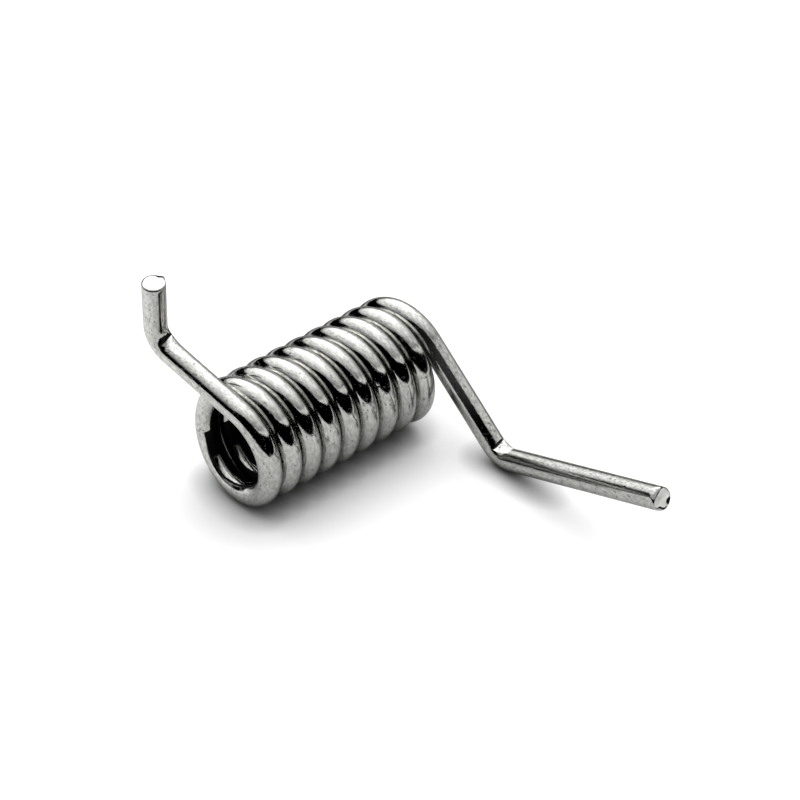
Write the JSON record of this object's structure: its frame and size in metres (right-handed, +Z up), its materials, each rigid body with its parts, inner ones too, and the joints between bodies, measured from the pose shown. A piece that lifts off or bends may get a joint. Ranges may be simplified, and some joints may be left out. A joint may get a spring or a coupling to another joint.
{
  "type": "torsion spring",
  "caption": "Close-wound round-wire torsion spring: a cylindrical coil with two tangential legs, each bent near its end, lying at rest.",
  "frame": {"origin": "middle of the coil, on its axis", "axes": "+Y along the coil axis from the near end to the far end, +Z up with the spring lying at rest, +X towards the far leg's tip"},
  "size_m": [0.0482, 0.0296, 0.0233],
  "materials": {
    "wire": "bright drawn spring wire, near-mirror, with fine pits and draw lines"
  },
  "bodies": {
    "root": {"spring": "wire"}
  },
  "joints": []
}
